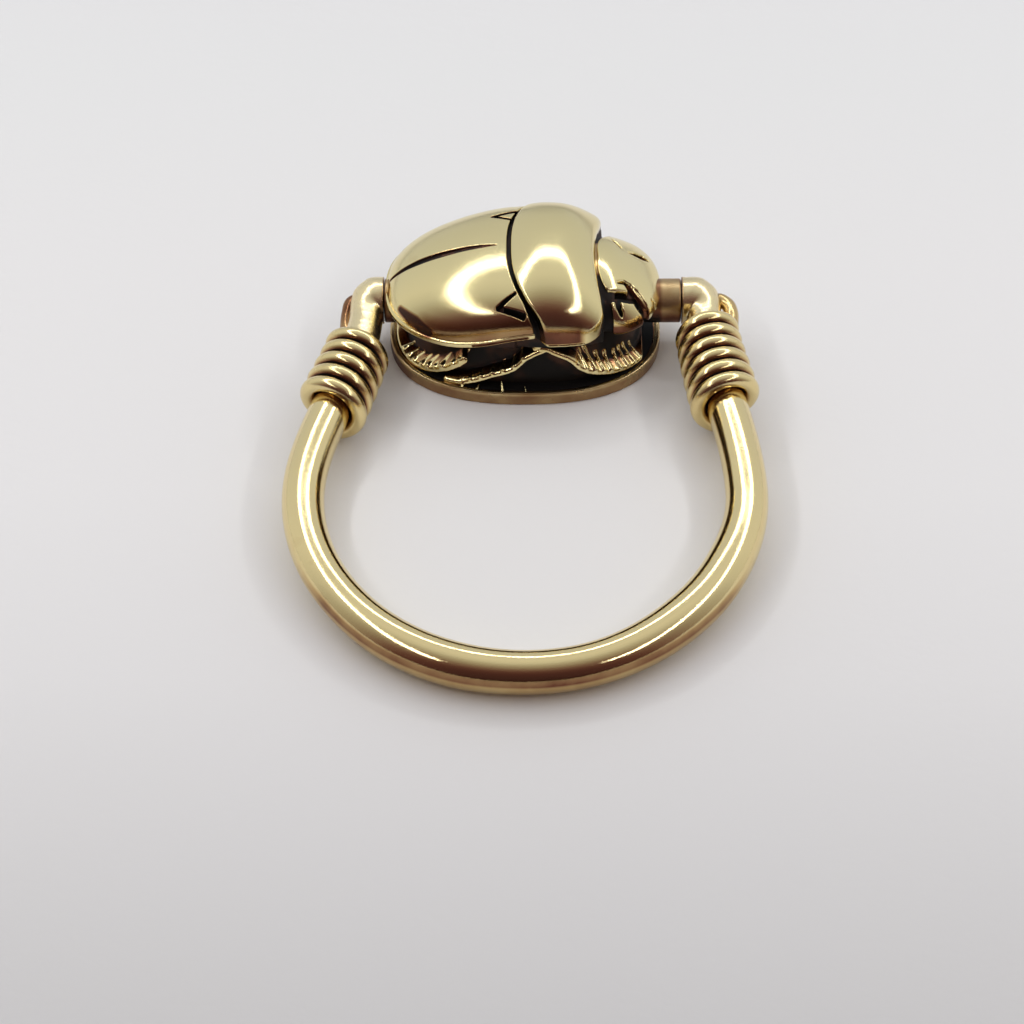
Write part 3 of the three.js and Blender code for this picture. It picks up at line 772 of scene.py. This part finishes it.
def elbow_field(side):
    """The rod's upper end, which thickens as it bends inward to carry the wire."""
    outward = side["outward"]
    middle = elbow_x(side)
    bend = [(middle - outward * side["reach"], 0, MOUTH_RADIUS)]
    bend += [(middle - outward * inward, depth, radius) for inward, depth, radius in ELBOW_BEND]
    bend.append((float(rod_x(side, ELBOW_FOOT[0])), *ELBOW_FOOT))
    for depth in [1.4, *np.arange(1.8, side["start"] + 0.3, 0.3)]:
        bend.append((float(rod_x(side, depth)), depth, float(rod_radius(depth))))
    centres = tilted([(x, depth, 0) for x, depth, _ in bend])
    places = [(*centre, radius) for centre, (_, _, radius) in zip(centres, bend)]

    def field(x, y, z):
        nearest = np.full(x.shape, ELBOW_REACH)
        for start, end in zip(places[:-1], places[1:]):
            nearest = smooth_min(nearest, stroke(x, y, z, [start, end], ELBOW_REACH), 0.1)
        return smooth_max(nearest, (side["mouth"] - x) * outward - MOUTH_REACH, 0.04)
    return field


def elbow_recess(side):
    """Painted shade in a seam at the mouth, where the elbow meets the beetle or its tube, and faintly just
    beside it.
    """
    def recess(x, y, z):
        inward = (x - side["mouth"]) * side["outward"]
        seam = (0.01 - MOUTH_REACH - inward) / 0.04 + 1
        return np.maximum(np.clip(seam, 0, 0.62), np.interp(inward, [0, 0.3], [0.15, 0]))
    return recess


def winding_path(side, lead):
    """Wire places and outward directions, as (x, depth, rise), from the elbow to the last turn."""
    outward = side["outward"]

    def place_at(angle, depth):
        slope = (rod_x(side, depth + 0.3) - rod_x(side, depth)) / 0.3
        length = math.hypot(1, slope)
        out_x, out_depth = outward / length, -outward * slope / length
        radius = float(rod_radius(depth)) + WINDING_RADIUS
        direction = np.array([out_x * math.cos(angle), out_depth * math.cos(angle), math.sin(angle)])
        middle = np.array([float(rod_x(side, depth)), depth, 0.0])
        return middle + radius * direction, direction

    # The winding starts at the outer side of the rod, a quarter turn before its first crest
    turned = np.arange(-STEPS_PER_TURN // 4, int(side["turns"] * STEPS_PER_TURN) + 1) / STEPS_PER_TURN
    angles = math.pi / 2 + 2 * math.pi * turned
    depths = side["start"] + WINDING_PITCH * turned
    spots = [place_at(angle, depth) for angle, depth in zip(angles, depths)]
    places = np.array([spot[0] for spot in spots])
    directions = np.array([spot[1] for spot in spots])
    middle = elbow_x(side)
    guide = np.array([(middle + outward * out, depth, rise) for out, depth, rise in lead])
    guide = np.concatenate([guide, places[:7:3]])
    spans = np.concatenate([[0], np.cumsum(np.linalg.norm(np.diff(guide, axis=0), axis=1))])
    fine = np.linspace(0, spans[-3], LEAD_STEPS, endpoint=False)
    first = np.stack([curve_through(spans, guide[:, axis])(fine) for axis in range(3)], axis=-1)
    away = first - np.stack([np.full(LEAD_STEPS, middle), first[:, 1], np.zeros(LEAD_STEPS)], axis=-1)
    away /= np.linalg.norm(away, axis=1, keepdims=True)
    return np.concatenate([first, places]), np.concatenate([away, directions]), len(first)


def winding(name, side, lead, shade_and_dirt):
    """The wire of one side, with painted shade where its turns meet each other and the rod."""
    places, directions, lead_count = winding_path(side, lead)
    centres = tilted(places)
    outwards = tilted(places + directions) - centres
    radii = np.full(len(centres), WIRE_RADIUS + WINDING_SWELL)
    radii[:lead_count] = WIRE_RADIUS
    piece = swept(name, centres, radii, WIRE_SIDES, outwards)
    angles = np.arange(WIRE_SIDES) * 2 * math.pi / WIRE_SIDES
    facing = np.cos(angles)[None]
    # A turn gets painted shade toward the turns on either side of it, but not where it has no neighbour
    down = (tilted([(0, 1, 0)]) - tilted([(0, 0, 0)]))[0]
    sideways = np.cross(np.gradient(centres, axis=0), outwards) @ down
    toward_next = np.sign(sideways)[:, None] * np.sin(angles)[None]
    turned = (np.arange(len(centres)) - lead_count)[:, None] / STEPS_PER_TURN
    next_share = smooth_step((turned[-1] - 0.9 - turned) / 0.15)
    last_share = smooth_step((turned - 1) / 0.15)
    share = np.where(toward_next > 0, next_share, last_share)
    recess = np.clip((0.82 - facing) / 0.42, 0, 1) * share
    # Where a turn has no neighbour, it gets lighter painted shade on its side toward the rod
    recess += np.clip((-0.35 - facing) / 0.3, 0, 1) * 0.55 * (1 - share)
    # Each lead is browned evenly, as painted shade
    recess[:lead_count] = shade_and_dirt
    add_recess(piece, np.concatenate([recess.ravel(), [0, 0]]))
    return piece


def tube_field(x, y, z):
    round_side = np.hypot(y, z - PIVOT_HEIGHT) - TUBE_RADIUS
    start, end = TUBE_ENDS
    return smooth_max(round_side, np.abs(x - (start + end) / 2) - (end - start) / 2, 0.08)


def tube_recess(x, y, z):
    """The tube is dull on top, with painted shade browning it below and more beside the head and the
    elbows.
    """
    low = np.clip((0.5 - (z - PIVOT_HEIGHT)) / 0.7, 0, 1) * 0.52
    start, end = TUBE_ENDS
    ends = np.interp(x, [start, start + 0.1, 6.1, 6.25, end - 0.12, end], [0.5, 0.1, 0.3, 0, 0, 0.3])
    return 0.08 + low + ends


# Materials: gold is plain up to a low recess, then dull, then red-brown, and black at the deepest, which
# paints shade and dark reflections into it

PURE_GOLD_UNTIL = 0.05
DULL_AT = 0.35
DULLING = (0.7, 0.58, 0.5)
RED_BROWN_AT = 0.72
SHADE_AND_TARNISH_BROWN = (0.19, 0.075, 0.042)
BLACKENS_FROM = 0.68
SHADE_AND_PATINA_BLACK = (0.006, 0.005, 0.0045)


def gold(name, colour, roughness, dirt=0.0, sparkle=0.0035):
    """Polished gold, which turns red-brown and then near-black as the recess attribute rises; that
    attribute paints shade and dark reflections into the colour.
    """
    material = bpy.data.materials.new(name)
    material.use_nodes = True
    nodes, links = material.node_tree.nodes, material.node_tree.links
    nodes.clear()

    def noise(scale, detail):
        node = nodes.new("ShaderNodeTexNoise")
        node.inputs["Scale"].default_value = scale
        node.inputs["Detail"].default_value = detail
        links.new(where.outputs["Object"], node.inputs["Vector"])
        return node

    def mapped(source, low, high, to_low, to_high):
        node = nodes.new("ShaderNodeMapRange")
        ends = {"From Min": low, "From Max": high, "To Min": to_low, "To Max": to_high}
        for key, value in ends.items():
            node.inputs[key].default_value = value
        links.new(source, node.inputs["Value"])
        return node.outputs["Result"]

    def added(first, second):
        node = nodes.new("ShaderNodeMath")
        links.new(first, node.inputs[0])
        links.new(second, node.inputs[1])
        return node.outputs["Value"]

    output = nodes.new("ShaderNodeOutputMaterial")
    metal = nodes.new("ShaderNodeBsdfPrincipled")
    metal.inputs["Metallic"].default_value = 1
    where = nodes.new("ShaderNodeTexCoord")
    broad = noise(700, 4)
    grain = noise(11000, 2)
    pitting = noise(26000, 1)
    recess = nodes.new("ShaderNodeAttribute")
    recess.attribute_name = "recess"
    worn = mapped(broad.outputs["Fac"], 0.4, 0.75, -0.06 + dirt * 0.5, 0.1 + dirt)
    shade_and_dirt = added(recess.outputs["Fac"], worn)

    tint = nodes.new("ShaderNodeValToRGB")
    tint.color_ramp.elements[0].position = PURE_GOLD_UNTIL
    tint.color_ramp.elements[0].color = (*colour, 1)
    tint.color_ramp.elements[1].position = RED_BROWN_AT
    tint.color_ramp.elements[1].color = (*SHADE_AND_TARNISH_BROWN, 1)
    middle = tint.color_ramp.elements.new(DULL_AT)
    middle.color = [*(part * share for part, share in zip(colour, DULLING)), 1]
    links.new(shade_and_dirt, tint.inputs["Fac"])
    links.new(tint.outputs["Color"], metal.inputs["Base Color"])

    gloss = mapped(broad.outputs["Fac"], 0.3, 0.7, roughness * 0.75, roughness * 1.3)
    links.new(gloss, metal.inputs["Roughness"])
    bump = nodes.new("ShaderNodeBump")
    bump.inputs["Strength"].default_value = 0.5
    bump.inputs["Distance"].default_value = sparkle * MM
    links.new(added(grain.outputs["Fac"], pitting.outputs["Fac"]), bump.inputs["Height"])
    links.new(bump.outputs["Normal"], metal.inputs["Normal"])

    dark = nodes.new("ShaderNodeBsdfPrincipled")
    dark.inputs["Base Color"].default_value = (*SHADE_AND_PATINA_BLACK, 1)
    dark.inputs["Roughness"].default_value = 0.55
    dark.inputs["Specular IOR Level"].default_value = 0.25
    mix = nodes.new("ShaderNodeMixShader")
    links.new(mapped(shade_and_dirt, BLACKENS_FROM, 1, 0, 1), mix.inputs["Fac"])
    links.new(metal.outputs["BSDF"], mix.inputs[1])
    links.new(dark.outputs["BSDF"], mix.inputs[2])
    links.new(mix.outputs["Shader"], output.inputs["Surface"])
    return material


bright_gold = gold("bright_gold", (0.80, 0.685, 0.36), 0.13, sparkle=0.0042)
rod_gold = gold("rod_gold", (0.80, 0.66, 0.34), 0.085, sparkle=0.0036)
wire_gold = gold("wire_gold", (0.79, 0.65, 0.33), 0.19, dirt=0.08, sparkle=0.005)
elbow_gold = gold("elbow_gold", (0.84, 0.71, 0.42), 0.24, sparkle=0.006)
plate_gold = gold("plate_gold", (0.58, 0.46, 0.25), 0.28, dirt=0.34)
tube_gold = gold("tube_gold", (0.62, 0.51, 0.29), 0.32, dirt=0.25, sparkle=0.008)


def dress(piece, body, node, material):
    """Gives a piece its metal, hangs it on what it rides on, and hides the part it stands in for."""
    piece.data.materials.append(material)
    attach(piece, body)
    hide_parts(node)


for name, field, recess, low, high in [
    ("wing_cases", wing_field, wing_recess, (-6.4, -4.3, 2.6), (1.0, 4.3, 5.8)),
    ("thorax", thorax_field, thorax_recess, (-1.0, -4.4, 2.9), (4.0, 4.4, 6.3)),
    ("head", head_field, head_recess, (3.2, -2.9, 2.3), (6.3, 2.9, 5.3)),
    ("flank_and_legs", flank_field, flank_recess, (-6.2, -4.5, 0.4), (6.2, 4.5, 3.4)),
]:
    piece = sculpt(name, field, low, high, recess=recess)
    dress(piece, "scarab", "scarab_body", bright_gold)
core = sculpt("body_core", core_field, (-6.2, -4.2, 2.5), (5.8, 4.2, 5.8), CORE_STEP, core_recess)
dress(core, "scarab", "scarab_body", bright_gold)

plate = sculpt("seal_plate_worn_and_shaded", plate_field, (-6.3, -4.7, -0.1), (6.3, 4.7, 0.8), recess=plate_recess)
dress(plate, "scarab", "seal_plate", plate_gold)

rod = hoop_rod()
dress(rod, "hoop", "shank", rod_gold)
for key, side in SIDES.items():
    ends = sorted([side["mouth"], side["mouth"] + side["outward"] * 2.6])
    elbow = sculpt(
        "elbow_" + key, elbow_field(side), (ends[0] - 0.2, -3.9, 1.0), (ends[1] + 0.2, 1.3, 3.5),
        ELBOW_STEP, elbow_recess(side),
    )
    dress(elbow, "hoop", "shank", elbow_gold)
    turns = winding("winding_" + key, side, WIRE_LEADS[key], LEAD_PAINTED_SHADE[key])
    dress(turns, "hoop", "swivel_wire", wire_gold)

wire_ends = [SIDES["left"]["mouth"] - 0.6, SIDES["right"]["mouth"] + 0.6]
wire_centres = [(x, 0, PIVOT_HEIGHT) for x in np.linspace(*wire_ends, 12)]
wire_up = np.tile([0.0, 0.0, 1.0], (len(wire_centres), 1))
pivot_wire = swept("pivot_wire", wire_centres, [WIRE_RADIUS] * len(wire_centres), WIRE_SIDES, wire_up)
# The pivot wire gets painted shade all along, as it runs inside the tube and the elbows
add_recess(pivot_wire, np.full(len(pivot_wire.data.vertices), 0.6))
dress(pivot_wire, "hoop", "swivel_wire", wire_gold)

tube = sculpt("tube_worn_and_shaded", tube_field, (-6.4, -1.1, 1.1), (7.2, 1.1, 3.3), recess=tube_recess)
dress(tube, "scarab", "pivot_tube", tube_gold)

# Camera, where the photograph was taken from

camera_data = bpy.data.cameras.new("camera")
camera = bpy.data.objects.new("camera", camera_data)
scene.collection.objects.link(camera)
scene.camera = camera
CAMERA_ELEVATION = math.radians(46.8)
CAMERA_DISTANCE = 120
CAMERA_AIM_Y = -10.9
camera.location = (
    0,
    (CAMERA_AIM_Y - CAMERA_DISTANCE * math.cos(CAMERA_ELEVATION)) * MM,
    CAMERA_DISTANCE * math.sin(CAMERA_ELEVATION) * MM,
)
camera.rotation_euler = (math.pi / 2 - CAMERA_ELEVATION, 0, 0)
camera_data.lens = 97.03
camera_data.sensor_width = 36
camera_data.shift_x = -0.0127
camera_data.shift_y = -0.0042
camera_data.clip_start = 0.001
camera_data.clip_end = 10

# Floor, world and lamp

def emissive(name, strength):
    """A glowing material, and the socket that takes its colour."""
    material = bpy.data.materials.new(name)
    material.use_nodes = True
    material.node_tree.nodes.clear()
    output = material.node_tree.nodes.new("ShaderNodeOutputMaterial")
    emission = material.node_tree.nodes.new("ShaderNodeEmission")
    emission.inputs["Strength"].default_value = strength
    material.node_tree.links.new(emission.outputs["Emission"], output.inputs["Surface"])
    return material, emission.inputs["Color"]


def share_along(tree, source, low, high):
    """How far along the Y axis a place or a direction lies, from 0 to 1."""
    split = tree.nodes.new("ShaderNodeSeparateXYZ")
    tree.links.new(source, split.inputs["Vector"])
    span = tree.nodes.new("ShaderNodeMapRange")
    span.inputs["From Min"].default_value = low
    span.inputs["From Max"].default_value = high
    tree.links.new(split.outputs["Y"], span.inputs["Value"])
    return span.outputs["Result"]


def ramp(tree, source, stops):
    """A colour ramp through (place, colour) stops."""
    node = tree.nodes.new("ShaderNodeValToRGB")
    node.color_ramp.elements[0].position = stops[0][0]
    node.color_ramp.elements[0].color = (*stops[0][1], 1)
    node.color_ramp.elements[1].position = stops[-1][0]
    node.color_ramp.elements[1].color = (*stops[-1][1], 1)
    for place, colour in stops[1:-1]:
        node.color_ramp.elements.new(place).color = (*colour, 1)
    tree.links.new(source, node.inputs["Fac"])
    return node.outputs["Color"]


FLOOR_HALF = 1500
PAPER_FRONT = -40
PAPER_BACK = 110
floor = mesh_object(
    "floor",
    [(-FLOOR_HALF, -FLOOR_HALF, 0), (FLOOR_HALF, -FLOOR_HALF, 0), (FLOOR_HALF, FLOOR_HALF, 0),
     (-FLOOR_HALF, FLOOR_HALF, 0)],
    [(0, 1, 2, 3)],
)
paper = bpy.data.materials.new("paper")
paper.use_nodes = True
tree = paper.node_tree
sheet = tree.nodes["Principled BSDF"]
sheet.inputs["Roughness"].default_value = 0.9
place = tree.nodes.new("ShaderNodeTexCoord").outputs["Object"]
# Painted light and shade: the paper is brightest near the ring and darker toward the front and the back,
# standing in for the light's falloff
shade = ramp(tree, share_along(tree, place, PAPER_FRONT * MM, PAPER_BACK * MM), [
    (0, (0.69, 0.69, 0.69)), (0.13, (0.86, 0.86, 0.86)), (0.2, (0.89, 0.89, 0.89)),
    (0.3, (0.87, 0.87, 0.87)), (0.4, (0.83, 0.84, 0.84)), (0.5, (0.80, 0.80, 0.81)),
    (0.75, (0.60, 0.60, 0.61)), (1, (0.50, 0.50, 0.51)),
])
tree.links.new(shade, sheet.inputs["Base Color"])
fibres = tree.nodes.new("ShaderNodeTexNoise")
fibres.inputs["Scale"].default_value = 1800
fibres.inputs["Detail"].default_value = 5
tree.links.new(place, fibres.inputs["Vector"])
paper_bump = tree.nodes.new("ShaderNodeBump")
paper_bump.inputs["Strength"].default_value = 0.25
paper_bump.inputs["Distance"].default_value = 0.05 * MM
tree.links.new(fibres.outputs["Fac"], paper_bump.inputs["Height"])
tree.links.new(paper_bump.outputs["Normal"], sheet.inputs["Normal"])
floor.data.materials.append(paper)

# The world is a pale tent, brightest overhead toward the back
world = bpy.data.worlds.new("world")
scene.world = world
world.use_nodes = True
tree = world.node_tree
direction = tree.nodes.new("ShaderNodeTexCoord").outputs["Generated"]
tent = ramp(tree, share_along(tree, direction, -1, 1), [
    (0.5, (0.62, 0.62, 0.62)), (0.66, (0.77, 0.77, 0.78)), (0.78, (0.74, 0.75, 0.78)),
    (0.9, (0.67, 0.69, 0.74)), (0.975, (0.62, 0.64, 0.69)), (1, (0.5, 0.52, 0.55)),
])
tree.links.new(tent, tree.nodes["Background"].inputs["Color"])
tree.nodes["Background"].inputs["Strength"].default_value = 1

# The tent is open in front, where the room is dark
ROOM_RADIUS = 450


def dark_front():
    """A dark quarter of a globe in front, seen only as a reflection in the gold."""
    points, faces = [], []
    rows, columns = 24, 48
    for row in range(rows + 1):
        height = math.radians(-2 + 90 * row / rows)
        for column in range(columns + 1):
            turn = math.pi + math.pi * column / columns
            points.append((
                ROOM_RADIUS * math.cos(height) * math.cos(turn),
                ROOM_RADIUS * math.cos(height) * math.sin(turn),
                ROOM_RADIUS * math.sin(height),
            ))
    for row in range(rows):
        for column in range(columns):
            a = row * (columns + 1) + column
            faces.append((a, a + 1, a + columns + 2, a + columns + 1))
    screen = mesh_object("dark_front", points, faces)
    material, colour = emissive("dark_room", strength=1)
    tree = material.node_tree
    where = tree.nodes.new("ShaderNodeTexCoord").outputs["Object"]
    shade = ramp(tree, share_along(tree, where, 0, -ROOM_RADIUS * MM), [
        (0, (0.60, 0.60, 0.60)), (0.17, (0.46, 0.44, 0.42)), (0.36, (0.32, 0.27, 0.25)),
        (0.53, (0.20, 0.125, 0.12)), (0.67, (0.12, 0.055, 0.055)), (0.8, (0.08, 0.032, 0.035)),
        (1, (0.05, 0.022, 0.025)),
    ])
    tree.links.new(shade, colour)
    screen.data.materials.append(material)
    screen.visible_camera = False


dark_front()


def ring_lamp(middle, half_x, half_y, width, openings, strength):
    """A rounded lamp frame over the ring, open toward the front by an angle on each side."""
    steps = 120
    left_opening, right_opening = openings
    span = 2 * math.pi - left_opening - right_opening
    points, faces = [], []
    for step in range(steps + 1):
        angle = -math.pi / 2 + right_opening + span * step / steps
        cosine, sine = math.cos(angle), math.sin(angle)
        for edge in (-width / 2, width / 2):
            along_x = abs(cosine / (half_x + edge)) ** LAMP_SQUARENESS
            along_y = abs(sine / (half_y + edge)) ** LAMP_SQUARENESS
            reach = (along_x + along_y) ** (-1 / LAMP_SQUARENESS)
            points.append((middle[0] + reach * cosine, middle[1] + reach * sine, middle[2]))
    for step in range(steps):
        a = 2 * step
        faces.append((a, a + 1, a + 3, a + 2))
    lamp = mesh_object("ring_lamp", points, faces)
    material, _ = emissive("lamp_glow", strength)
    lamp.data.materials.append(material)
    lamp.visible_camera = False


LAMP_SQUARENESS = 2.6
ring_lamp(
    middle=(9, -18, 95), half_x=76, half_y=90, width=10.5,
    openings=(math.radians(46), math.radians(34)), strength=7.6,
)

scene.view_settings.view_transform = "Standard"
